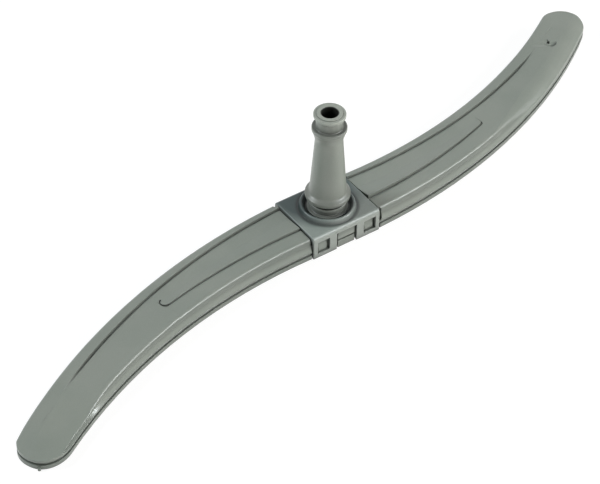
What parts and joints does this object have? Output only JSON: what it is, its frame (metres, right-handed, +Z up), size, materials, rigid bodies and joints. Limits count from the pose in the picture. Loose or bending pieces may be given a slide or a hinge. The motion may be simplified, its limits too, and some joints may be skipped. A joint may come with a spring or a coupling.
{
  "type": "dishwasher spray arm",
  "caption": "S-curved hollow spray arm of two plastic shells with a clip-over hub collar, spinning on a tapered captive feed tube with a flanged push-in end.",
  "frame": {"origin": "on the spin axis, in the plane of the flat underside that the arm lies on", "axes": "+Z up along the feed tube, +X along the hub collar towards the arm half with the drive jet"},
  "size_m": [0.4524, 0.1402, 0.0804],
  "materials": {
    "arm_plastic": "satin, fine grain",
    "collar_plastic": "satin",
    "bearing_plastic": "smooth",
    "tube_plastic": "satin"
  },
  "bodies": {
    "feed_tube": {"feed_tube": "tube_plastic"},
    "arm": {"arm_upper_shell": "arm_plastic", "arm_lower_shell": "arm_plastic", "hub_collar": "collar_plastic", "bearing_ring": "bearing_plastic"}
  },
  "joints": [
    {"name": "arm_spin", "type": "hinge", "parent": "feed_tube", "child": "arm", "pos_m": [0, 0, 0], "axis": [0, 0, 1], "continuous": true}
  ]
}
